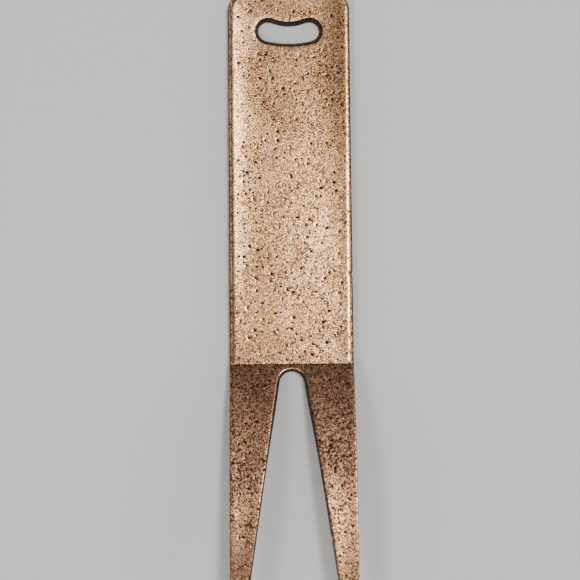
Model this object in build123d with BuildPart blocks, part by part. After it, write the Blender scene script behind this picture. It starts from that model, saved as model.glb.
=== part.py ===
"""Divot repair tool: one stamped and bent strip of sheet metal with a two-tined fork.

The blank is an outline cut straight through the sheet. The handle lies flat, and the fork
kicks up from a sharp bend line across its root, then arches over towards its tips.

Frame: +X across the tool, +Y from the tine tips towards the handle's round-cornered end,
+Z out of the front face. The origin is under the middle of the tool, on the plane that the
flat handle rests on.
"""

import os
from math import asin, atan2, cos, degrees, radians, sin, tan

from build123d import *

os.makedirs("parts", exist_ok=True)

# Driving dimensions, in millimetres and degrees
tool_width = 15.9
sheet_thickness = 1.5
handle_length = 49.4
fork_length = 35.5
handle_corner_radius = 3.15

notch_below_bend = 0.6
notch_radius = 1.9
flank_angle = 8.5

bend_angle = 19.0
arch_radius = 86.0

slot_below_end = 5.8
slot_lobe_radius = 1.55
slot_lobe_x = 2.7
slot_dip = 0.52
slot_belly = 0.32

handle_edge_roll = 0.45
slot_edge_roll = 0.2
fork_edge_roll = 0.18

# How far the cutting shapes run past the sheet
overrun = 1.0

# Places along the tool, worked out from the driving dimensions
half_width = tool_width / 2
half_length = (handle_length + fork_length) / 2
handle_end = half_length
bend_line = half_length - handle_length
tine_tip = -half_length
corner_x = half_width - handle_corner_radius
corner_y = handle_end - handle_corner_radius

# Each inner flank touches the notch's round top. Each tine tip is the circle that touches
# the outer edge, the flank and the tip line.
cos_flank = cos(radians(flank_angle))
sin_flank = sin(radians(flank_angle))
tan_flank = tan(radians(flank_angle))
notch_y = bend_line - notch_below_bend - notch_radius
flank_at_tip = notch_radius / cos_flank + (notch_y - tine_tip) * tan_flank
tip_radius = (half_width - flank_at_tip) / (1 + 1 / cos_flank - tan_flank)
tip_x = half_width - tip_radius
tip_y = tine_tip + tip_radius
flank_start = (tip_x - tip_radius * cos_flank, tip_y - tip_radius * sin_flank)
flank_end = (notch_radius * cos_flank, notch_y + notch_radius * sin_flank)

# The arch is struck from one centre under the fork. Its front face starts at the bend
# line, where it leans by the bend angle, and its back face is one thickness inside it.
arch_y = bend_line - arch_radius * sin(radians(bend_angle))
arch_z = sheet_thickness - arch_radius * cos(radians(bend_angle))
back_radius = arch_radius - sheet_thickness
arch_top = arch_z + arch_radius
tip_lean = degrees(asin((tine_tip - overrun - arch_y) / arch_radius))

# The slot is two round lobes joined by two arcs that touch them. The upper arc dips into
# the slot and the lower one bellies out of it, both struck from centres above the slot.
slot_y = handle_end - slot_below_end
dip_rise = (slot_lobe_x**2 - slot_dip**2) / (2 * slot_dip)
dip_radius = dip_rise + slot_dip - slot_lobe_radius
belly_rise = (slot_lobe_x**2 - slot_belly**2) / (2 * slot_belly)
belly_radius = belly_rise + slot_lobe_radius + slot_belly
dip_sweep = degrees(atan2(slot_lobe_x, dip_rise))
belly_sweep = degrees(atan2(slot_lobe_x, belly_rise))


def on_arch(radius, lean):
    """Point (Y, Z) at a radius from the arch's centre, leaning from straight up towards +Y."""
    return (arch_y + radius * sin(radians(lean)), arch_z + radius * cos(radians(lean)))


with BuildPart() as tool_body:
    # Side view of the bent sheet: flat handle, sharp bend in front, round bend behind, arch
    with BuildSketch(Plane.YZ) as side_view:
        with BuildLine():
            Line((handle_end + overrun, 0), (bend_line, 0))
            CenterArc((bend_line, sheet_thickness), sheet_thickness, -90, -bend_angle)
            CenterArc((arch_y, arch_z), back_radius, 90 - bend_angle, bend_angle - tip_lean)
            Line(on_arch(back_radius, tip_lean), on_arch(arch_radius, tip_lean))
            CenterArc((arch_y, arch_z), arch_radius, 90 - tip_lean, tip_lean - bend_angle)
            Line((bend_line, sheet_thickness), (handle_end + overrun, sheet_thickness))
            Line((handle_end + overrun, sheet_thickness), (handle_end + overrun, 0))
        make_face()
    extrude(amount=half_width + overrun, both=True)

    # Plan of the blank: one half of the outline and of the slot, mirrored across the long axis
    with BuildSketch(Plane.XY) as plan:
        with BuildLine():
            Line((0, handle_end), (corner_x, handle_end))
            CenterArc((corner_x, corner_y), handle_corner_radius, 0, 90)
            Line((half_width, corner_y), (half_width, tip_y))
            CenterArc((tip_x, tip_y), tip_radius, 0, flank_angle - 180)
            Line(flank_start, flank_end)
            CenterArc((0, notch_y), notch_radius, flank_angle, 90 - flank_angle)
            Line((0, notch_y + notch_radius), (0, handle_end))
        make_face()
        with BuildLine():
            CenterArc((0, slot_y + belly_rise), belly_radius, 270, belly_sweep)
            CenterArc(
                (slot_lobe_x, slot_y),
                slot_lobe_radius,
                270 + belly_sweep,
                180 + dip_sweep - belly_sweep,
            )
            CenterArc((0, slot_y + dip_rise), dip_radius, 270, dip_sweep)
            Line((0, slot_y + dip_rise - dip_radius), (0, slot_y + belly_rise - belly_radius))
        make_face(mode=Mode.SUBTRACT)
        mirror(about=Plane.YZ)
    extrude(amount=arch_top + overrun, mode=Mode.INTERSECT)

    # The blanking die rolls the front edges over. The back edges stay sharp. The lowest
    # edge of the handle's front face is the bend line, and it isn't rolled.
    handle_front = faces().filter_by(Plane.XY).sort_by(Axis.Z)[-1]
    fillet(handle_front.outer_wire().edges().sort_by(Axis.Y)[1:], radius=handle_edge_roll)

    handle_front = faces().filter_by(Plane.XY).sort_by(Axis.Z)[-1]
    fillet(handle_front.inner_wires()[0].edges(), radius=slot_edge_roll)

    fork_front = faces().filter_by(GeomType.CYLINDER).sort_by(Axis.Z)[-1]
    fork_rim = fork_front.edges().filter_by_position(Axis.Y, tine_tip, bend_line - fork_edge_roll)
    fillet(fork_rim, radius=fork_edge_roll)

tool_body.part.label = "tool_body"
export_step(tool_body.part, "parts/tool_body.step")
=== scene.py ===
"""Looks for the divot repair tool: a detailed mesh of the stamped strip, its aged copper
finish, a pale floor, soft studio lights and the camera."""

import math
import random

import bmesh
import bpy
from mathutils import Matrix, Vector, noise
from mathutils.geometry import delaunay_2d_cdt


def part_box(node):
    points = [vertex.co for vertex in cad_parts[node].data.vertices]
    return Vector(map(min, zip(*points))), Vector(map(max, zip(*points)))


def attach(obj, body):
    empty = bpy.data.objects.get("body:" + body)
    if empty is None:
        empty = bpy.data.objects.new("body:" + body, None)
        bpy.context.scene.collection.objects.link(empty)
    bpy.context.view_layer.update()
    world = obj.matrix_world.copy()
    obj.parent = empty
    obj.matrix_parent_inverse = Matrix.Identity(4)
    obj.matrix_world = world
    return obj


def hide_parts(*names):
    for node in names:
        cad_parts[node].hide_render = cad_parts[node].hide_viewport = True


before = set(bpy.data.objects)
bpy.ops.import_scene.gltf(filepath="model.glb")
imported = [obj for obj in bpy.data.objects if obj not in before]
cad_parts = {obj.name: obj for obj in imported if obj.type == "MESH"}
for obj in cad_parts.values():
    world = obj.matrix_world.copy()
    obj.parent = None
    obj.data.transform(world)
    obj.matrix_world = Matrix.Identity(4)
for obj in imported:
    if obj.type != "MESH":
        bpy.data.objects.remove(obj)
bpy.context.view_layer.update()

MM = 0.001

# The blank, in millimetres and degrees, from the CAD box where the box gives it
NODE = "tool_body"
box_low, box_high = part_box(NODE)
HALF_WIDTH = box_high.x / MM
HANDLE_END = box_high.y / MM
TINE_TIP = box_low.y / MM
THICKNESS = 1.5
HANDLE_LENGTH = 49.4
CORNER_RADIUS = 3.15
BEND = HANDLE_END - HANDLE_LENGTH

NOTCH_BELOW_BEND = 0.6
NOTCH_RADIUS = 1.9
FLANK_ANGLE = math.radians(8.5)
BEND_ANGLE = math.radians(19.0)
ARCH_RADIUS = 86.0

SLOT_BELOW_END = 5.8
LOBE_RADIUS = 1.55
LOBE_X = 2.7
SLOT_DIP = 0.52
SLOT_BELLY = 0.32

# How the blanking die left the edges: widths in plan, and how far they fall for their width
LEFT_ROLL = 0.72
RIGHT_ROLL = 0.7
LEFT_DROP = 1.0
RIGHT_DROP = 0.6
SLOT_ROLL = 0.24
SLOT_LOW_ROLL = 0.34
FORK_ROLL = 0.18
BACK_BREAK = 0.06

# How far the sheared walls lean into the openings by the back
GAP_LEAN = 0.3
SLOT_LEAN_HIGH = 0.13
SLOT_LEAN_LOW = 0.45

# Nicks in the edge: middle in plan, reach and depth
NICKS = [
    (7.95, -32.4, 0.45, 0.16),
    (4.95, -28.6, 0.4, 0.14),
    (7.95, 4.6, 0.45, 0.14),
    (-7.95, 17.2, 0.4, 0.08),
    (-7.95, -27.5, 0.4, 0.08),
]

# Middles of the notch and the slot, and the arch's axis
NOTCH_Y = BEND - NOTCH_BELOW_BEND - NOTCH_RADIUS
SLOT_Y = HANDLE_END - SLOT_BELOW_END
ARCH_Y = BEND - ARCH_RADIUS * math.sin(BEND_ANGLE)
ARCH_Z = THICKNESS - ARCH_RADIUS * math.cos(BEND_ANGLE)
BACK_RADIUS = ARCH_RADIUS - THICKNESS


# ---------------------------------------------------------------- outline of the blank


def run(start, end, normal, step):
    """Points of a straight run, each with its outward normal, without the last point."""
    length = math.dist(start, end)
    count = max(1, round(length / step))
    points = []
    for i in range(count):
        t = i / count
        x = start[0] + (end[0] - start[0]) * t
        y = start[1] + (end[1] - start[1]) * t
        points.append((x, y, *normal))
    return points


def arc(centre, radius, start, sweep, side, step):
    """Points of an arc with normals away from its centre (side 1) or towards it (side -1)."""
    count = max(4, round(abs(sweep) * radius / step))
    points = []
    for i in range(count):
        a = start + sweep * i / count
        c, s = math.cos(a), math.sin(a)
        points.append((centre[0] + radius * c, centre[1] + radius * s, side * c, side * s))
    return points


def nicked(points):
    """The loop with small nicks pressed into its edge."""
    changed = []
    for x, y, nx, ny in points:
        for at_x, at_y, radius, depth in NICKS:
            near = 1 - (math.hypot(x - at_x, y - at_y) / radius) ** 2
            if near > 0:
                x -= nx * depth * near
                y -= ny * depth * near
        changed.append((x, y, nx, ny))
    return changed


def mirrored(points, last):
    """The loop closed by the mirror image of its right half, which ends at point last."""
    left = [(-x, y, -nx, ny) for x, y, nx, ny in reversed(points[1:])]
    return points + [last] + left


def blank_outline(step):
    """The strip's outer edge, clockwise from the middle of the handle's end."""
    cos_f, sin_f, tan_f = math.cos(FLANK_ANGLE), math.sin(FLANK_ANGLE), math.tan(FLANK_ANGLE)
    flank_at_tip = NOTCH_RADIUS / cos_f + (NOTCH_Y - TINE_TIP) * tan_f
    tip_r = (HALF_WIDTH - flank_at_tip) / (1 + 1 / cos_f - tan_f)
    tip = (HALF_WIDTH - tip_r, TINE_TIP + tip_r)
    corner = (HALF_WIDTH - CORNER_RADIUS, HANDLE_END - CORNER_RADIUS)
    flank_low = (tip[0] - tip_r * cos_f, tip[1] - tip_r * sin_f)
    flank_high = (NOTCH_RADIUS * cos_f, NOTCH_Y + NOTCH_RADIUS * sin_f)
    up, right, inward = (0, 1), (1, 0), (-cos_f, -sin_f)
    quarter = math.pi / 2
    tip_sweep = FLANK_ANGLE - math.pi
    notch_sweep = quarter - FLANK_ANGLE
    half = run((0, HANDLE_END), (corner[0], HANDLE_END), up, step)
    half += arc(corner, CORNER_RADIUS, quarter, -quarter, 1, step)
    half += run((HALF_WIDTH, corner[1]), (HALF_WIDTH, BEND), right, step)
    half += run((HALF_WIDTH, BEND), (HALF_WIDTH, tip[1]), right, step)
    half += arc(tip, tip_r, 0, tip_sweep, 1, step * 0.7)
    half += run(flank_low, flank_high, inward, step)
    half += arc((0, NOTCH_Y), NOTCH_RADIUS, FLANK_ANGLE, notch_sweep, -1, step)
    return mirrored(half, (0, NOTCH_Y + NOTCH_RADIUS, 0, -1))


def slot_outline(step):
    """The bean-shaped slot's edge, from the middle of its upper edge."""
    dip_rise = (LOBE_X**2 - SLOT_DIP**2) / (2 * SLOT_DIP)
    dip_r = dip_rise + SLOT_DIP - LOBE_RADIUS
    belly_rise = (LOBE_X**2 - SLOT_BELLY**2) / (2 * SLOT_BELLY)
    belly_r = belly_rise + LOBE_RADIUS + SLOT_BELLY
    dip = math.atan2(LOBE_X, dip_rise)
    belly = math.atan2(LOBE_X, belly_rise)
    down = -math.pi / 2
    lobe_start = down + dip + math.pi
    lobe_sweep = belly - dip - math.pi
    half = arc((0, SLOT_Y + dip_rise), dip_r, down, dip, 1, step)
    half += arc((LOBE_X, SLOT_Y), LOBE_RADIUS, lobe_start, lobe_sweep, -1, step)
    half += arc((0, SLOT_Y + belly_rise), belly_r, down + belly, -belly, -1, step)
    return mirrored(half, (0, SLOT_Y + belly_rise - belly_r, 0, 1))


# ---------------------------------------------------------------- relief of the two faces


def smooth(low, high, value):
    """Smooth step from 0 at low to 1 at high."""
    t = min(1.0, max(0.0, (value - low) / (high - low)))
    return t * t * (3 - 2 * t)


# The dish pressed into the handle: depth at the slot and at the bend, how square it is,
# and where it fades, below the bend and below the handle's end
DISH_DEPTH = 0.3
FORK_DISH = 0.03
DISH_POWER = 5
DISH_FADE_LOW = 10.0
DISH_FADE_HIGH = 4.0

# The trough along each tine: depth for each millimetre of half width, how square it is,
# and where it sets in, below the bend
TINE_DISH = 0.025
TINE_DISH_POWER = 2.5
TROUGH_START = 4.0
TROUGH_FULL = 11.0

# The crease along the bend, and the slow unevenness of the sheet
GROOVE_DEPTH = 0.07
GROOVE_HALF_WIDTH = 0.135
WAVE_HEIGHT = 0.008
WAVE_LENGTH = 6.0
WAVE_SEED = 1.7


def bent_front(y):
    """Height of the ideal front face: the flat handle, then the arch."""
    if y >= BEND:
        return THICKNESS
    return ARCH_Z + math.sqrt(ARCH_RADIUS**2 - (y - ARCH_Y) ** 2)


def bent_back(y):
    """Height of the ideal back face: flat, round the outside of the bend, then the arch."""
    if y >= BEND:
        return 0.0
    bend_end = BEND - THICKNESS * math.sin(BEND_ANGLE)
    if y >= bend_end:
        return THICKNESS - math.sqrt(THICKNESS**2 - (y - BEND) ** 2)
    return ARCH_Z + math.sqrt(BACK_RADIUS**2 - (y - ARCH_Y) ** 2)


def wave(x, y):
    """Slow unevenness of the pressed sheet, never above it."""
    place = Vector((x / WAVE_LENGTH, y / WAVE_LENGTH, WAVE_SEED))
    return WAVE_HEIGHT * (noise.noise(place) - 1) / 2


def handle_hollow(x, y):
    """Depth of the dish pressed into the handle, fading out past the bend."""
    along = smooth(BEND - DISH_FADE_LOW, HANDLE_END - DISH_FADE_HIGH, y)
    dish = FORK_DISH + (DISH_DEPTH - FORK_DISH) * along
    return dish * (1 - (abs(x) / HALF_WIDTH) ** DISH_POWER)


def tine_hollow(x, y):
    """Depth of the faint trough along each tine."""
    gap = gap_half_width(y)
    half_tine = (HALF_WIDTH - gap) / 2
    across = min(1.0, abs(abs(x) - gap - half_tine) / half_tine)
    on_tines = smooth(BEND - TROUGH_START, BEND - TROUGH_FULL, y)
    return TINE_DISH * half_tine * on_tines * (1 - across**TINE_DISH_POWER)


def crease(y):
    """1 on the bend line, 0 beyond the sides of the groove along it."""
    return max(0.0, 1 - abs(y - BEND) / GROOVE_HALF_WIDTH)


def front_height(x, y):
    """Height of the real front face away from its rolled edges."""
    hollow = handle_hollow(x, y) + tine_hollow(x, y)
    return bent_front(y) - hollow - GROOVE_DEPTH * crease(y) + wave(x, y)


def back_height(_x, y):
    """Height of the real back face, the same all across the strip."""
    return bent_back(y)


# ---------------------------------------------------------------- pits


TIP_MARGIN = 1
PIT_COUNT = 330
PIT_TRIES = 40 * PIT_COUNT
PIT_SEED = 19

# Smallest radius, what the largest adds, how few are large, and depth for the radius
PIT_RADIUS = 0.13
PIT_RADIUS_SPREAD = 0.14
PIT_RARITY = 2.5
PIT_DEPTH = 0.12
PIT_STRETCH = 1.35

# Clearance from the sheet's edges, from each other and from the bend
PIT_MARGIN = 0.75
PIT_SPACING = 0.25
PIT_TO_BEND = 0.3

# Farthest that a pit reaches in X or Y, and the rings of points in it: share and number
PIT_REACH = 0.6
PIT_RINGS = ((0.55, 6), (1.0, 10))


class Pit:
    """A shallow dent: an ellipse in plan, in millimetres."""

    def __init__(self, x, y, radius, depth, stretch, turn):
        self.x = x
        self.y = y
        self.radius = radius
        self.depth = depth
        self.stretch = stretch
        self.cos = math.cos(turn)
        self.sin = math.sin(turn)

    def far(self, x, y):
        """0 at the middle of the pit, 1 at its rim."""
        dx, dy = x - self.x, y - self.y
        u = (dx * self.cos + dy * self.sin) / self.stretch
        v = (dy * self.cos - dx * self.sin) * self.stretch
        return math.hypot(u, v) / self.radius

    def at(self, share, angle):
        """Plan position at a share of the way from the middle to the rim."""
        u = self.radius * share * math.cos(angle) * self.stretch
        v = self.radius * share * math.sin(angle) / self.stretch
        return (self.x + u * self.cos - v * self.sin, self.y + u * self.sin + v * self.cos)


def gap_half_width(y, margin=0.0):
    """Half the gap between the tines, widened by a margin all round, or 0 on the handle."""
    radius = NOTCH_RADIUS + margin
    if y > NOTCH_Y + radius:
        return 0.0
    if y > NOTCH_Y + radius * math.sin(FLANK_ANGLE):
        return math.sqrt(max(0.0, radius**2 - (y - NOTCH_Y) ** 2))
    return radius / math.cos(FLANK_ANGLE) + (NOTCH_Y - y) * math.tan(FLANK_ANGLE)


def off_slot(x, y, margin):
    """True where a point of the plan is at least margin from the slot."""
    if abs(x) > LOBE_X:
        return math.hypot(abs(x) - LOBE_X, y - SLOT_Y) > LOBE_RADIUS + margin
    to_middle = 1 - (x / LOBE_X) ** 2
    slot_top = SLOT_Y + LOBE_RADIUS - SLOT_DIP * to_middle
    slot_low = SLOT_Y - LOBE_RADIUS - SLOT_BELLY * to_middle
    return not slot_low - margin < y < slot_top + margin


def on_metal(x, y, margin):
    """True where a point of the plan is on the sheet and at least margin from its edges."""
    if abs(x) > HALF_WIDTH - margin or y > HANDLE_END - margin or y < TINE_TIP + TIP_MARGIN:
        return False
    if abs(x) < gap_half_width(y, margin):
        return False
    in_corner_x = abs(x) - (HALF_WIDTH - CORNER_RADIUS)
    in_corner_y = y - (HANDLE_END - CORNER_RADIUS)
    if in_corner_x > 0 and in_corner_y > 0:
        if math.hypot(in_corner_x, in_corner_y) > CORNER_RADIUS - margin:
            return False
    return off_slot(x, y, margin)


def scattered_pits():
    """Pits at random over the sheet, none on another, from many small to a few large."""
    draw = random.Random(PIT_SEED)
    pits = []
    tries = 0
    while len(pits) < PIT_COUNT and tries < PIT_TRIES:
        tries += 1
        x = draw.uniform(-HALF_WIDTH, HALF_WIDTH)
        y = draw.uniform(TINE_TIP, HANDLE_END)
        radius = PIT_RADIUS + PIT_RADIUS_SPREAD * draw.random() ** PIT_RARITY
        stretch = draw.uniform(1.0, PIT_STRETCH)
        turn = draw.uniform(0, math.pi)
        if not on_metal(x, y, PIT_MARGIN + radius) or abs(y - BEND) < radius + PIT_TO_BEND:
            continue
        if any(math.hypot(p.x - x, p.y - y) < p.radius + radius + PIT_SPACING for p in pits):
            continue
        pits.append(Pit(x, y, radius, radius * PIT_DEPTH, stretch, turn))
    return pits


def pitted(pits, x, y):
    """How deep the pits are here, and how well inside one this is, from 0 to 1."""
    depth, inside = 0.0, 0.0
    for pit in pits:
        if abs(pit.x - x) < PIT_REACH and abs(pit.y - y) < PIT_REACH:
            far = pit.far(x, y)
            if far < 1:
                depth = max(depth, pit.depth * (1 - far * far))
                inside = max(inside, 1 - far**3)
    return depth, inside


def pit_points(pits):
    """Points for the mesh in the middle of each pit and on rings round it."""
    points = []
    for pit in pits:
        points.append((pit.x, pit.y))
        for share, number in PIT_RINGS:
            turns = [2 * math.pi * i / number for i in range(number)]
            points += [pit.at(share, turn) for turn in turns]
    return points


# ---------------------------------------------------------------- mesh


# Edges: spacing of points along them, and rings up the roll and down the wall
EDGE_STEP = 0.15
ROLL_STEPS = 6
WALL_SHARES = (0.35, 0.7, 1.0)

# Front face: its grid, and what the grid keeps clear of the crease and the pits
FRONT_STEP = 0.26
FRONT_MARGIN = 0.78
CREASE_STEP = 0.2
CREASE_CLEAR = 0.14
PIT_NEAR = 0.5
PIT_CLEAR = 1.4

# Back face: its grid, and the rows of points round the outside of the bend
BACK_STEP = 0.5
BACK_MARGIN = 0.3
BEND_ROWS = 4
BEND_CLEAR = 0.2

MERGE_DISTANCE = 1e-7
SHARP_ANGLE = 40

# Painted shade on the rolled edge, with some patina low down: strength high on the left, the
# side turned away from the key light, and where it sets in on the way down
LEFT_PAINTED_SHADE = 0.22
ROLL_SHADE_START = 0.55
ROLL_SHADE_FULL = 0.38


def ring(loop, inset):
    """The loop moved into the metal by inset, a function of a point's place in plan."""
    return [(x - nx * inset(x, y), y - ny * inset(x, y)) for x, y, nx, ny in loop]


def edge_roll(x, y):
    """Width of the outer front edge's roll here: wide on the handle, narrow on the fork."""
    on_handle = smooth(BEND - 0.1, BEND + 0.5, y)
    to_right = smooth(-HALF_WIDTH, HALF_WIDTH, x)
    handle = LEFT_ROLL + (RIGHT_ROLL - LEFT_ROLL) * to_right
    return FORK_ROLL + (handle - FORK_ROLL) * on_handle


def roll_drop(x, width):
    """How far a rolled edge falls: as far as its width on the left, less on the right."""
    to_right = smooth(-HALF_WIDTH, HALF_WIDTH, x)
    return width * (LEFT_DROP + (RIGHT_DROP - LEFT_DROP) * to_right)


def roll_rub_and_highlight(y, share, wall):
    """How much a rolled edge is brightened, partly rubbed clean and partly a painted
    highlight: on the fork, only short of its upper end.
    """
    if y < BEND and share == 1.0:
        return 0.0
    return 1 - wall


def roll_shade_and_patina(x, share):
    """How dark the rolled edge is painted a share of the way up: painted shade low on the
    roll, with some patina, and higher up on the left side, which faces away from the key
    light.
    """
    to_right = smooth(-HALF_WIDTH, -HALF_WIDTH + 2, x)
    upper = LEFT_PAINTED_SHADE * (1 - to_right) * smooth(1.0, 0.95, share)
    return max(upper, smooth(ROLL_SHADE_START, ROLL_SHADE_FULL, share))


def gap_lean(x, y):
    """How far the sheared wall leans out into the gap between the tines by the back."""
    if y > BEND or abs(x) > HALF_WIDTH - 0.5:
        return 0.0
    along = 0.45 + 0.55 * smooth(BEND - 14, BEND - 3, y)
    return GAP_LEAN * along * smooth(TINE_TIP + 0.5, TINE_TIP + 3, y)


def slot_lean(x, y):
    """How far the slot's wall leans inwards by the back: the punch went through askew."""
    to_low = smooth(0.9 * LOBE_RADIUS, -LOBE_RADIUS, y - SLOT_Y)
    return SLOT_LEAN_HIGH + (SLOT_LEAN_LOW - SLOT_LEAN_HIGH) * to_low


def slot_roll(_x, y):
    """Width of the roll round the slot, widest along its lower edge."""
    return SLOT_ROLL + (SLOT_LOW_ROLL - SLOT_ROLL) * smooth(SLOT_Y, SLOT_Y - LOBE_RADIUS, y)


def slot_painted_shade(_x, share):
    """How dark the slot's rolled edge is painted a share of the way up: painted shade."""
    return smooth(1.0, 0.8, share)


class Shell:
    """Gathers the vertices, the faces and how pitted, darkened and brightened each vertex is:
    walls and rims darkened with patina and painted shade, the bend line darker, and rims
    brightened by rubbing and a painted highlight.
    """

    def __init__(self):
        self.points = []
        self.faces = []
        self.looks = {"pit": [], "wall": [], "rub": []}

    def add(self, x, y, z, pit=0.0, wall=0.0, rub=0.0):
        """Adds a vertex, placed in millimetres, and returns its number."""
        self.points.append((x * MM, y * MM, z * MM))
        for name, value in (("pit", pit), ("wall", wall), ("rub", rub)):
            self.looks[name].append(value)
        return len(self.points) - 1

    def band(self, outer, inner):
        """Quads between two rings with the same number of points."""
        n = len(outer)
        for i in range(n):
            j = (i + 1) % n
            self.faces.append((outer[i], outer[j], inner[j], inner[i]))

    def mesh(self, name):
        """The finished mesh, with the looks as float attributes of its vertices."""
        mesh = bpy.data.meshes.new(name)
        mesh.from_pydata(self.points, [], self.faces)
        for look, values in self.looks.items():
            layer = mesh.attributes.new(look, "FLOAT", "POINT")
            layer.data.foreach_set("value", values)
        return mesh


def hex_points(step, margin):
    """An even triangular grid of points on the sheet."""
    rows = int((HANDLE_END - TINE_TIP) / (step * math.sqrt(3) / 2)) + 1
    columns = int(2 * HALF_WIDTH / step) + 2
    found = []
    for r in range(rows):
        y = TINE_TIP + r * step * math.sqrt(3) / 2
        for c in range(columns):
            x = -HALF_WIDTH + (c + 0.5 * (r % 2)) * step
            if on_metal(x, y, margin):
                found.append((x, y))
    return found


def bend_row(half_span, step):
    """X of evenly spaced points straight across the sheet, without the two ends."""
    count = round(2 * half_span / step)
    return [-half_span + 2 * half_span * i / count for i in range(1, count)]


def gather_plan(rims, lines, extra):
    """Points to triangulate, the vertex that each has already or None, and the fixed edges."""
    plan, given, edges = [], [], []
    for rim in rims:
        first = len(plan)
        n = len(rim)
        plan += [Vector(place) for _, place in rim]
        given += [index for index, _ in rim]
        edges += [(first + i, first + (i + 1) % n) for i in range(n)]
    for line in lines:
        first = len(plan)
        plan += [Vector(place) for place in line]
        edges += [(first + i, first + i + 1) for i in range(len(line) - 1)]
    plan += [Vector(place) for place in extra]
    given += [None] * (len(plan) - len(given))
    return plan, given, edges


def fill_face(shell, rims, lines, extra, height, pits):
    """Triangulates one face of the sheet inside its rims, and lays it on the height."""
    plan, given, edges = gather_plan(rims, lines, extra)
    laid = delaunay_2d_cdt(plan, edges, [], 1, MERGE_DISTANCE, True)
    places, _, triangles, sources, _, _ = laid
    made = []
    placed = {}
    for (x, y), source in zip(places, sources):
        for s in source:
            placed[s] = len(made)
        known = [given[s] for s in source if given[s] is not None]
        if known:
            made.append(known[0])
            continue
        depth, inside = pitted(pits, x, y)
        # The groove along the bend is coloured darker through the wall look
        made.append(shell.add(x, y, height(x, y) - depth, pit=inside, wall=crease(y)))
    outer = [placed[i] for i in range(len(rims[0]))]
    slot = [placed[len(rims[0]) + i] for i in range(len(rims[1]))]
    slot.reverse()
    for triangle in on_sheet(triangles, [outer, slot]):
        shell.faces.append([made[corner] for corner in triangle])


def sides(corners):
    """The directed sides of a face or a closed loop."""
    return list(zip(corners, corners[1:] + corners[:1]))


def on_sheet(triangles, rims):
    """The triangles on the metal: those not reached from outside without crossing a rim."""
    void_side = {side for rim in rims for side in sides(rim)}
    owner = {side: t for t, corners in enumerate(triangles) for side in sides(corners)}
    waiting = [owner[side] for side in void_side if side in owner]
    void = set(waiting)
    while waiting:
        for a, b in sides(triangles[waiting.pop()]):
            beyond = owner.get((b, a))
            if beyond is None or beyond in void or (a, b) in void_side:
                continue
            void.add(beyond)
            waiting.append(beyond)
    return [corners for t, corners in enumerate(triangles) if t not in void]


def rolled_rows(shell, loop, roll, edge_darkness):
    """Rings up the rolled front edge, and the plan of the last, where the face begins."""
    rows = []
    plan = []
    for k in range(ROLL_STEPS + 1):
        share = k / ROLL_STEPS
        a = math.pi / 2 * k / ROLL_STEPS
        plan = ring(loop, lambda x, y: roll(x, y) * (1 - math.cos(a)))
        drops = [roll_drop(x, roll(x, y)) * (1 - math.sin(a)) for x, y, _, _ in loop]
        row = []
        for (x, y), drop in zip(plan, drops):
            # Painted shade on the roll, with some patina
            wall = edge_darkness(x, share)
            # Rubbed clean, with a painted highlight, where the roll is not shaded
            rub = roll_rub_and_highlight(y, share, wall)
            row.append(shell.add(x, y, front_height(x, y) - drop, wall=wall, rub=rub))
        rows.append(row)
    return rows, plan


def wall_rows(shell, loop, roll, lean, top_row):
    """Rings down the sheared wall from its top row, and the plan of the last, on the back."""
    rows = [top_row]
    tops = [front_height(x, y) - roll_drop(x, roll(x, y)) for x, y, _, _ in loop]
    for share in WALL_SHARES:
        plan = ring(loop, lambda x, y: -lean(x, y) * share)
        row = []
        for (x, y), top in zip(plan, tops):
            low = back_height(x, y) + BACK_BREAK
            # The sheared walls are coloured near-black: patina, and painted shade
            row.append(shell.add(x, y, top + (low - top) * share, wall=1.0))
        rows.append(row)
    plan = ring(loop, lambda x, y: BACK_BREAK - lean(x, y))
    rows.append([shell.add(x, y, back_height(x, y)) for x, y in plan])
    return rows, plan


def edge_rims(shell, loop, roll, lean, edge_darkness):
    """Builds one edge of the sheet from face to face, and gives its front and back rims."""
    rolled, front_plan = rolled_rows(shell, loop, roll, edge_darkness)
    for outer, inner in zip(rolled, rolled[1:]):
        shell.band(outer, inner)
    walls, back_plan = wall_rows(shell, loop, roll, lean, rolled[0])
    for upper, lower in zip(walls, walls[1:]):
        shell.band(lower, upper)
    return list(zip(rolled[-1], front_plan)), list(zip(walls[-1], back_plan))


def front_face(shell, rims, pits):
    """The front: an even grid with finer points in the pits, and a groove along the bend."""
    grid = [
        (x, y)
        for x, y in hex_points(FRONT_STEP, FRONT_MARGIN)
        if abs(y - BEND) > CREASE_CLEAR
        and all(abs(pit.x - x) > PIT_NEAR or pit.far(x, y) > PIT_CLEAR for pit in pits)
    ]
    lines = []
    for y in (BEND - GROOVE_HALF_WIDTH, BEND, BEND + GROOVE_HALF_WIDTH):
        half_span = HALF_WIDTH - edge_roll(HALF_WIDTH, y)
        lines.append([(x, y) for x in bend_row(half_span, CREASE_STEP)])
    fill_face(shell, rims, lines, grid + pit_points(pits), front_height, pits)


def back_face(shell, rims):
    """The back: a coarser grid, with rows of points round the outside of the bend."""
    bend_end = BEND - THICKNESS * math.sin(BEND_ANGLE)
    grid = [
        (x, y)
        for x, y in hex_points(BACK_STEP, BACK_MARGIN)
        if not bend_end - BEND_CLEAR < y < BEND + BEND_CLEAR
    ]
    across = bend_row(HALF_WIDTH - BACK_MARGIN, BACK_STEP)
    rows = []
    for i in range(BEND_ROWS + 1):
        y = BEND + (bend_end - BEND) * i / BEND_ROWS
        rows.append([(x, y) for x in across if on_metal(x, y, BEND_CLEAR)])
    lines = rows[:2]
    for row in rows[2:]:
        grid += row
    fill_face(shell, rims, lines, grid, back_height, [])


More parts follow.
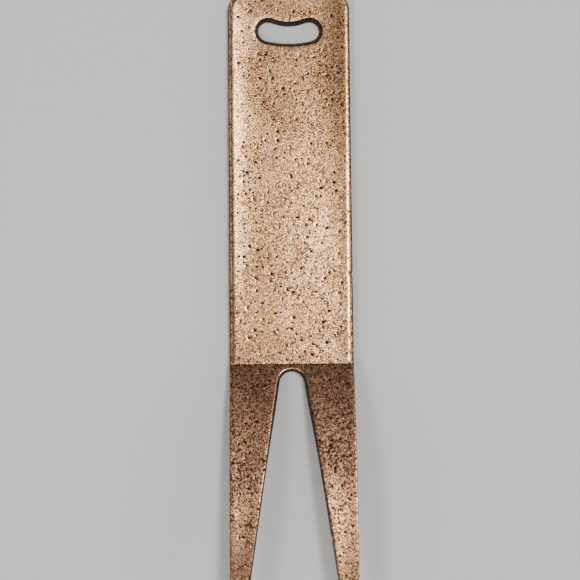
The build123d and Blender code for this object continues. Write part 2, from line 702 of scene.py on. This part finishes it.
def tool_mesh():
    """The whole strip: front face, rolled edges, sheared walls and back face."""
    shell = Shell()
    pits = scattered_pits()
    outside = nicked(blank_outline(EDGE_STEP))
    slot = slot_outline(EDGE_STEP)
    outer_front, outer_back = edge_rims(shell, outside, edge_roll, gap_lean, roll_shade_and_patina)
    # The slot's rim carries painted shade
    slot_front, slot_back = edge_rims(shell, slot, slot_roll, slot_lean, slot_painted_shade)
    front_face(shell, [outer_front, slot_front], pits)
    back_face(shell, [outer_back, slot_back])
    return shell.mesh("stamped_tool")


def tidy_normals(mesh):
    """Turns every face outwards and shades smoothly except across real edges."""
    work = bmesh.new()
    work.from_mesh(mesh)
    bmesh.ops.remove_doubles(work, verts=work.verts, dist=1e-8)
    bmesh.ops.recalc_face_normals(work, faces=work.faces)
    work.to_mesh(mesh)
    work.free()
    mesh.shade_smooth()
    mesh.set_sharp_from_angle(angle=math.radians(SHARP_ANGLE))


# ---------------------------------------------------------------- aged copper


class Nodes:
    """Short ways to build the node tree of one material."""

    def __init__(self, name):
        self.material = bpy.data.materials.new(name)
        self.material.use_nodes = True
        self.tree = self.material.node_tree
        self.shader = self.tree.nodes["Principled BSDF"]

    def add(self, kind, **settings):
        """A new node with its settings."""
        node = self.tree.nodes.new(kind)
        for key, value in settings.items():
            setattr(node, key, value)
        return node

    def put(self, socket, value):
        """Links a socket to another socket, or sets its own value."""
        if isinstance(value, bpy.types.NodeSocket):
            self.tree.links.new(value, socket)
        else:
            socket.default_value = value

    def math(self, operation, first, second):
        """One sum of two sockets or numbers."""
        node = self.add("ShaderNodeMath", operation=operation)
        self.put(node.inputs[0], first)
        self.put(node.inputs[1], second)
        return node.outputs[0]

    def total(self, base, *terms):
        """A number plus several sockets, each taken by its weight."""
        for socket, weight in terms:
            base = self.math("ADD", self.math("MULTIPLY", socket, weight), base)
        return base

    def strongest(self, *terms):
        """The largest of several sockets, each taken by its weight, and never below 0."""
        top = 0.0
        for socket, weight in terms:
            top = self.math("MAXIMUM", self.math("MULTIPLY", socket, weight), top)
        return top

    def spread(self, value, low, high, to_low=0.0, to_high=1.0):
        """Eases a value from one range to another."""
        node = self.add("ShaderNodeMapRange", interpolation_type="SMOOTHSTEP")
        self.put(node.inputs["Value"], value)
        self.put(node.inputs["From Min"], low)
        self.put(node.inputs["From Max"], high)
        self.put(node.inputs["To Min"], to_low)
        self.put(node.inputs["To Max"], to_high)
        return node.outputs["Result"]

    def mix(self, factor, first, second):
        """A colour between two colours."""
        node = self.add("ShaderNodeMix", data_type="RGBA")
        self.put(node.inputs["Factor"], factor)
        self.put(node.inputs[6], first)
        self.put(node.inputs[7], second)
        return node.outputs[2]

    def tint(self, factor, colour, by):
        """A colour multiplied by another as far as the factor says."""
        node = self.add("ShaderNodeMix", data_type="RGBA", blend_type="MULTIPLY")
        self.put(node.inputs["Factor"], factor)
        self.put(node.inputs[6], colour)
        self.put(node.inputs[7], by)
        return node.outputs[2]

    def ramp(self, value, *stops):
        """A colour looked up along a row of stops."""
        node = self.add("ShaderNodeValToRGB")
        self.put(node.inputs[0], value)
        marks = node.color_ramp.elements
        while len(marks) < len(stops):
            marks.new(1.0)
        for mark, (place, colour) in zip(marks, stops):
            mark.position = place
            mark.color = (*colour, 1)
        return node.outputs[0]

    def look(self, name):
        """How pitted, darkened or brightened the surface is here, from the mesh."""
        return self.add("ShaderNodeAttribute", attribute_name=name).outputs["Fac"]

    def plan_mm(self):
        """The place on the object in millimetres."""
        place = self.add("ShaderNodeTexCoord").outputs["Object"]
        node = self.add("ShaderNodeVectorMath", operation="SCALE")
        self.put(node.inputs[0], place)
        node.inputs["Scale"].default_value = 1 / MM
        return node.outputs[0]

    def noise(self, place, per_mm, detail, rough, shift, stretch=(1, 1, 1)):
        """Cloudy noise with per_mm features to the millimetre."""
        mapping = self.add("ShaderNodeMapping")
        self.put(mapping.inputs["Vector"], place)
        mapping.inputs["Scale"].default_value = stretch
        mapping.inputs["Location"].default_value = shift
        node = self.add("ShaderNodeTexNoise")
        self.put(node.inputs["Vector"], mapping.outputs[0])
        node.inputs["Scale"].default_value = per_mm
        node.inputs["Detail"].default_value = detail
        node.inputs["Roughness"].default_value = rough
        return node.outputs["Fac"]

    def cells(self, place, per_mm):
        """Random cells, per_mm to the millimetre: distance to the middle, and two draws."""
        cells = self.add("ShaderNodeTexVoronoi", voronoi_dimensions="2D")
        self.put(cells.inputs["Vector"], place)
        cells.inputs["Scale"].default_value = per_mm
        draw = self.add("ShaderNodeSeparateColor")
        self.put(draw.inputs[0], cells.outputs["Color"])
        return cells.outputs["Distance"], draw.outputs[0], draw.outputs[1]

    def crumbs(self, place, per_mm):
        """A random level in each of many tiny cells."""
        return self.cells(place, per_mm)[2]

    def specks(self, place, per_mm, size, share, shift):
        """Round specks in a share of the cells, per_mm cells to the millimetre."""
        mapping = self.add("ShaderNodeMapping")
        self.put(mapping.inputs["Vector"], place)
        mapping.inputs["Location"].default_value = shift
        distance, draw, _ = self.cells(mapping.outputs[0], per_mm)
        size_here = self.spread(draw, 1 - share, 1.0, 0.0, size)
        over = self.math("SUBTRACT", size_here, distance)
        return self.spread(over, 0.0, size * 0.3)

    def scratches(self, place, turn, shift):
        """Fine scratches that run turn degrees from the object's X axis."""
        turned = self.add("ShaderNodeMapping")
        self.put(turned.inputs["Vector"], place)
        turned.inputs["Rotation"].default_value = (0, 0, math.radians(-turn))
        lines = self.noise(turned.outputs[0], 6.0, 0.0, 0.5, shift, stretch=(0.09, 1, 0))
        return self.spread(lines, 0.66, 0.74)

    def stain(self, place, centre, radii, soft, warp):
        """A soft patch round a point of the plan, its border warped by noise."""
        node = self.add("ShaderNodeVectorMath", operation="SUBTRACT")
        self.put(node.inputs[0], place)
        node.inputs[1].default_value = (*centre, 0)
        scaled = self.add("ShaderNodeVectorMath", operation="MULTIPLY")
        self.put(scaled.inputs[0], node.outputs[0])
        scaled.inputs[1].default_value = (1 / radii[0], 1 / radii[1], 0)
        length = self.add("ShaderNodeVectorMath", operation="LENGTH")
        self.put(length.inputs[0], scaled.outputs[0])
        edge = self.math("ADD", length.outputs["Value"], warp)
        return self.spread(edge, 1 + soft, 1 - soft)

    def patches(self, place, spots, warp):
        """The strongest of several stains at each point."""
        stains = [self.stain(place, middle, radii, 0.5, warp) for middle, radii, _ in spots]
        return self.strongest(*zip(stains, [strength for _, _, strength in spots]))


# Stained patches, and one of painted shade along the right margin: middle and radii in plan,
# and strength
STAINS_AND_SHADE = [
    ((-3.1, 7.0), (1.3, 2.2), 0.3),
    ((1.9, 8.0), (0.7, 0.8), 0.5),
    ((-0.6, 26.0), (2.0, 4.2), 0.3),
    # Painted shade: the dark right margin of the handle beside the slot
    ((5.6, 31.5), (2.2, 9.0), 0.45),
    ((-6.6, 41.6), (1.2, 1.0), 0.6),
    ((3.6, -28.0), (1.2, 4.0), 0.4),
]

# Painted highlights on the handle's left margin and beside the slot: middle and radii in plan,
# and strength
PAINTED_HIGHLIGHTS = [
    ((-5.7, 36.4), (1.8, 3.6), 1.3),
    ((-7.0, 22.0), (1.0, 17.0), 1.0),
    ((1.8, 41.3), (3.6, 1.6), 1.2),
]

# Painted shade on the tines: middle and radii in plan, softness, and what they multiply by
TINE_SHADE_PATCHES = [
    ((5.5, -14.0), (4.5, 11.0), 0.4, (0.76, 0.76, 0.80, 1)),
    ((-6.5, -34.0), (4.5, 14.0), 0.35, (0.68, 0.65, 0.70, 1)),
]

# Colours of the metal from its darkest patina to rubbed bright
COPPER = [
    (0.22, (0.07, 0.034, 0.020)),
    (0.38, (0.19, 0.094, 0.049)),
    (0.50, (0.355, 0.175, 0.085)),
    (0.62, (0.55, 0.283, 0.136)),
    (0.86, (0.94, 0.555, 0.300)),
]
# Near-black for specks and pits, and for walls and rims darkened with patina and painted shade
GRIME_AND_SHADE = (0.02, 0.011, 0.008, 1)
# Tint of the stains, and of the painted shade along the right margin beside the slot
STAIN_AND_SHADE_TINT = (0.68, 0.63, 0.63, 1)
# Tint of the fork root's patina and painted shade
ROOT_PATINA_AND_SHADE_TINT = (0.58, 0.56, 0.66, 1)
HUE_TINT = (0.94, 1.0, 0.93, 1)

# Where the root's patina and painted shade fade along Y, and how far the border wanders
ROOT_FULL = -18.5
ROOT_END = -31.0
ROOT_WANDER = 4.0
BUMP_HEIGHT = 0.02


def fork_patina_and_shade(n, place, warp, rub):
    """The brown patina and painted shade at the fork's root, fading down the tines and lifted
    on the rims by rubbing and a painted highlight.
    """
    split = n.add("ShaderNodeSeparateXYZ")
    n.put(split.inputs[0], place)
    along = n.total(split.outputs["Y"], (warp, ROOT_WANDER))
    faded = n.spread(along, ROOT_FULL, ROOT_END, 1.0, 0.0)
    on_fork = n.spread(split.outputs["Y"], BEND + 0.15, BEND - 0.15)
    off_highlit_rim = n.spread(rub, 0.3, 0.9, 1.0, 0.2)
    return n.math("MULTIPLY", n.math("MULTIPLY", faded, on_fork), off_highlit_rim)


def copper_colour(n, place, warp, level, stain_and_shade, root):
    """Colour of the bare metal and its patina at a level from dark to bright, with stains, the
    root's patina, and painted shade on the handle's right margin, the fork and the tines.
    """
    hue = n.noise(place, 0.6, detail=5.0, rough=0.75, shift=(3.3, 8.8, 0))
    colour = n.ramp(level, *COPPER)
    colour = n.tint(n.spread(hue, 0.4, 0.6), colour, HUE_TINT)
    # Stains, and painted shade along the right margin
    colour = n.tint(stain_and_shade, colour, STAIN_AND_SHADE_TINT)
    # Patina and painted shade at the fork's root
    colour = n.tint(root, colour, ROOT_PATINA_AND_SHADE_TINT)
    # Painted shade on the tines
    for middle, radii, soft, tint in TINE_SHADE_PATCHES:
        colour = n.tint(n.stain(place, middle, radii, soft, warp), colour, tint)
    return colour


def relief(n, grain, mottle, small, large):
    """Fine relief of the surface: its grain, with the specks sunk into it."""
    bump = n.add("ShaderNodeBump")
    height = n.total(0.0, (grain, 0.6), (mottle, 0.3), (small, -0.35), (large, -0.6))
    n.put(bump.inputs["Height"], height)
    bump.inputs["Strength"].default_value = 1.0
    bump.inputs["Distance"].default_value = BUMP_HEIGHT * MM
    return bump.outputs[0]


def aged_copper():
    """Worn antique copper: brown patina, painted highlights on the margins and rims, specks,
    pits, and walls and rims darkened with patina and painted shade.
    """
    n = Nodes("aged_copper")
    place = n.plan_mm()
    grain = n.noise(place, 5.6, detail=2.0, rough=0.75, shift=(0, 0, 0))
    mottle = n.noise(place, 2.4, detail=4.0, rough=0.7, shift=(7.3, 1.9, 0))
    crumbs = n.crumbs(place, 7.2)
    patches = n.noise(place, 0.22, detail=4.0, rough=0.55, shift=(2.7, 5.3, 0))
    wander = n.noise(place, 0.8, detail=4.0, rough=0.6, shift=(9.1, 4.2, 0))
    warp = n.spread(wander, 0.25, 0.75, -0.45, 0.45)
    small = n.specks(place, 3.4, size=0.3, share=0.25, shift=(0, 0, 0))
    large = n.specks(place, 1.3, size=0.26, share=0.5, shift=(4.4, 2.2, 0))
    one_way = n.scratches(place, turn=38, shift=(1, 7, 0))
    other_way = n.scratches(place, turn=112, shift=(5, 2, 0))
    scratches = n.math("MAXIMUM", one_way, other_way)
    # Stains, and painted shade along the right margin beside the slot
    stain_and_shade = n.patches(place, STAINS_AND_SHADE, warp)
    # Painted highlights on the left margin and beside the slot
    painted_highlight = n.patches(place, PAINTED_HIGHLIGHTS, warp)
    pit = n.spread(n.look("pit"), 0.1, 0.6)
    wall = n.look("wall")
    # Rims: rubbed clean, and a painted highlight
    rub = n.look("rub")
    # Patina and painted shade at the fork's root
    root = fork_patina_and_shade(n, place, warp, rub)

    texture = [(grain, 0.8), (mottle, 0.85), (crumbs, 0.6), (patches, 0.45)]
    # Brighter: painted highlights on rims and margins, and scratches
    bright = [(rub, 0.08), (painted_highlight, 0.1), (scratches, 0.12)]
    # Darker: stains, patina and painted shade
    dull = [(stain_and_shade, -0.07), (root, -0.08)]
    level = n.total(-0.835, *texture, *bright, *dull)
    # Near-black: specks, pits, and walls and rims with patina and painted shade
    dark = n.strongest((small, 0.7), (large, 0.9), (pit, 1.0), (wall, 0.97))
    colour = copper_colour(n, place, warp, level, stain_and_shade, root)
    n.put(n.shader.inputs["Base Color"], n.mix(dark, colour, GRIME_AND_SHADE))
    n.shader.inputs["Metallic"].default_value = 1.0
    rough = n.total(n.spread(level, 0.3, 0.7, 0.38, 0.25), (root, 0.08), (dark, 0.25))
    n.put(n.shader.inputs["Roughness"], rough)
    n.put(n.shader.inputs["Normal"], relief(n, grain, mottle, small, large))
    return n.material


# ---------------------------------------------------------------- scene


# Floor: half its size in metres, and how far under the tool it lies in millimetres
FLOOR_HALF_SIZE = 1.5
FLOOR_BELOW = 0.02
FLOOR_COLOUR = (0.53, 0.525, 0.50, 1)
FLOOR_ROUGHNESS = 0.9

# Lights: name, degrees from straight up, compass angle from +X, size and power
LIGHTS = [
    ("key_right", 17, 28, 0.12, 3.7),
    ("key_far_right", 32, 45, 0.25, 0.9),
    ("far_left", 20, 135, 0.18, 0.2),
    ("fill_low_left", 42, 222, 0.2, 2.7),
    ("front", 24, 285, 0.2, 1.1),
    ("low_right", 58, 0, 0.3, 0.6),
]
LIGHT_DISTANCE = 0.8

# The dome's light: heights that it fades between, and its strength above and below them
DOME_FADE_TOP = 0.68
DOME_FADE_LOW = 0.38
DOME_OVERHEAD = 0.03
DOME_ALL_ROUND = 1.1

# Camera: place in millimetres, turn in degrees about X, Y and Z, and lens in millimetres
CAMERA_PLACE = (-3.881, -10.187, 161.213)
CAMERA_TURN = (4.573, -1.331, -0.4246)
CAMERA_LENS = 77.456
CAMERA_SENSOR = 36
CAMERA_CLIP_START = 0.01


def make_tool():
    """The stamped tool, in place of the plain solid."""
    mesh = tool_mesh()
    tidy_normals(mesh)
    tool = bpy.data.objects.new("stamped_tool", mesh)
    bpy.context.scene.collection.objects.link(tool)
    mesh.materials.append(aged_copper())
    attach(tool, "root")
    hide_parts(NODE)


def make_floor():
    """A plain pale floor just under the tool."""
    mesh = bpy.data.meshes.new("floor")
    size, z = FLOOR_HALF_SIZE, -FLOOR_BELOW * MM
    corners = [(-size, -size, z), (size, -size, z), (size, size, z), (-size, size, z)]
    mesh.from_pydata(corners, [], [(0, 1, 2, 3)])
    floor = bpy.data.objects.new("floor", mesh)
    bpy.context.scene.collection.objects.link(floor)
    material = bpy.data.materials.new("pale_floor")
    material.use_nodes = True
    shader = material.node_tree.nodes["Principled BSDF"]
    shader.inputs["Base Color"].default_value = FLOOR_COLOUR
    shader.inputs["Roughness"].default_value = FLOOR_ROUGHNESS
    mesh.materials.append(material)


def soft_light(name, lean, towards, size, power):
    """A square soft light, lean degrees from straight up towards a compass angle from +X."""
    data = bpy.data.lights.new(name, "AREA")
    data.shape = "SQUARE"
    data.size = size
    data.energy = power
    light = bpy.data.objects.new(name, data)
    bpy.context.scene.collection.objects.link(light)
    a, e = math.radians(towards), math.radians(lean)
    away = Vector((math.cos(a) * math.sin(e), math.sin(a) * math.sin(e), math.cos(e)))
    light.location = away * LIGHT_DISTANCE
    light.rotation_mode = "QUATERNION"
    light.rotation_quaternion = away.to_track_quat("Z", "Y")


def make_lights():
    """Key lights high on the right, weaker fills from the other sides, and a dome."""
    for name, lean, towards, size, power in LIGHTS:
        soft_light(name, lean, towards, size, power)
    make_dome()


def make_dome():
    """A studio dome, dark overhead and softly lit low down all round."""
    world = bpy.data.worlds.new("studio")
    world.use_nodes = True
    tree = world.node_tree
    place = tree.nodes.new("ShaderNodeTexCoord")
    split = tree.nodes.new("ShaderNodeSeparateXYZ")
    tree.links.new(place.outputs["Generated"], split.inputs[0])
    band = tree.nodes.new("ShaderNodeMapRange")
    band.interpolation_type = "SMOOTHSTEP"
    tree.links.new(split.outputs["Z"], band.inputs["Value"])
    band.inputs["From Min"].default_value = DOME_FADE_TOP
    band.inputs["From Max"].default_value = DOME_FADE_LOW
    band.inputs["To Min"].default_value = DOME_OVERHEAD
    band.inputs["To Max"].default_value = DOME_ALL_ROUND
    background = tree.nodes["Background"]
    background.inputs["Color"].default_value = (1, 1, 1, 1)
    tree.links.new(band.outputs["Result"], background.inputs["Strength"])
    bpy.context.scene.world = world


def make_camera():
    """Camera nearly straight over the root of the fork, a little nearer the tines."""
    data = bpy.data.cameras.new("camera")
    data.sensor_width = CAMERA_SENSOR
    data.lens = CAMERA_LENS
    data.clip_start = CAMERA_CLIP_START
    camera = bpy.data.objects.new("camera", data)
    bpy.context.scene.collection.objects.link(camera)
    camera.location = [value * MM for value in CAMERA_PLACE]
    camera.rotation_mode = "ZYX"
    camera.rotation_euler = [math.radians(value) for value in CAMERA_TURN]
    bpy.context.scene.camera = camera


make_tool()
make_floor()
make_lights()
make_camera()
